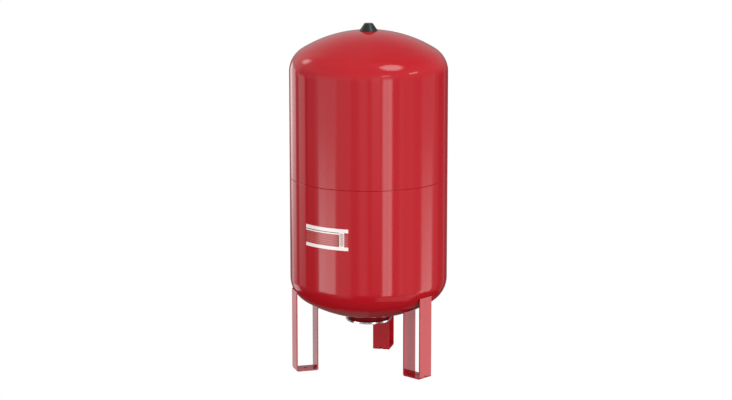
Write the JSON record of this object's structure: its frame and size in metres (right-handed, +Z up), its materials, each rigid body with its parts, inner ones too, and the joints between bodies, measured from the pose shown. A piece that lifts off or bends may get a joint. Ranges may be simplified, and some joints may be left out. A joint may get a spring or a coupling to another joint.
{
  "type": "expansion tank",
  "caption": "Tall red steel vessel with dished ends on three bent-strap legs, a bolted water flange underneath and a gas valve under a black cover on top.",
  "frame": {"origin": "on the floor, under the tank's vertical axis", "axes": "+Z up along the tank's axis; the rear leg stands towards +Y and the rating label faces -Y and -X"},
  "size_m": [0.5999, 0.6002, 1.3266],
  "materials": {
    "red_paint": "glossy red powder coat",
    "label_film": "printed film, satin",
    "zinc_plate": "bright zinc plating",
    "stainless": "stainless, satin",
    "brass": "turned",
    "rubber": "matt black",
    "black_plastic": "moulded, slight sheen"
  },
  "bodies": {
    "tank": {"leg_rear": "red_paint", "leg_front_left": "red_paint", "leg_front_right": "red_paint", "leg_welds": "red_paint", "upper_shell": "red_paint", "lower_shell": "red_paint", "seam_weld": "red_paint", "rating_label": "label_film", "neck_collar": "red_paint", "neck_weld": "red_paint", "flange_cover": "zinc_plate", "flange_bolts": "zinc_plate", "connection_socket": "zinc_plate", "socket_weld": "zinc_plate", "inlet_screen": "stainless", "bladder": "rubber", "valve_boss": "red_paint", "boss_weld": "red_paint", "valve_stem": "brass", "valve_seal": "rubber", "valve_core": "brass", "core_spring": "stainless", "dust_cap": "black_plastic", "dust_cap_seal": "rubber"},
    "cover": {"valve_cover": "black_plastic"},
    "valve_pin": {"core_pin": "brass", "core_plug": "rubber"}
  },
  "joints": [
    {"name": "cover_lift", "type": "slide", "parent": "tank", "child": "cover", "axis": [0, 0, 1], "range_m": [0, 0.04]},
    {"name": "pin_press", "type": "slide", "parent": "tank", "child": "valve_pin", "axis": [0, 0, -1], "range_m": [0, 0.0012], "stiffness_N_per_m": 500, "deforming": ["core_spring"]}
  ]
}
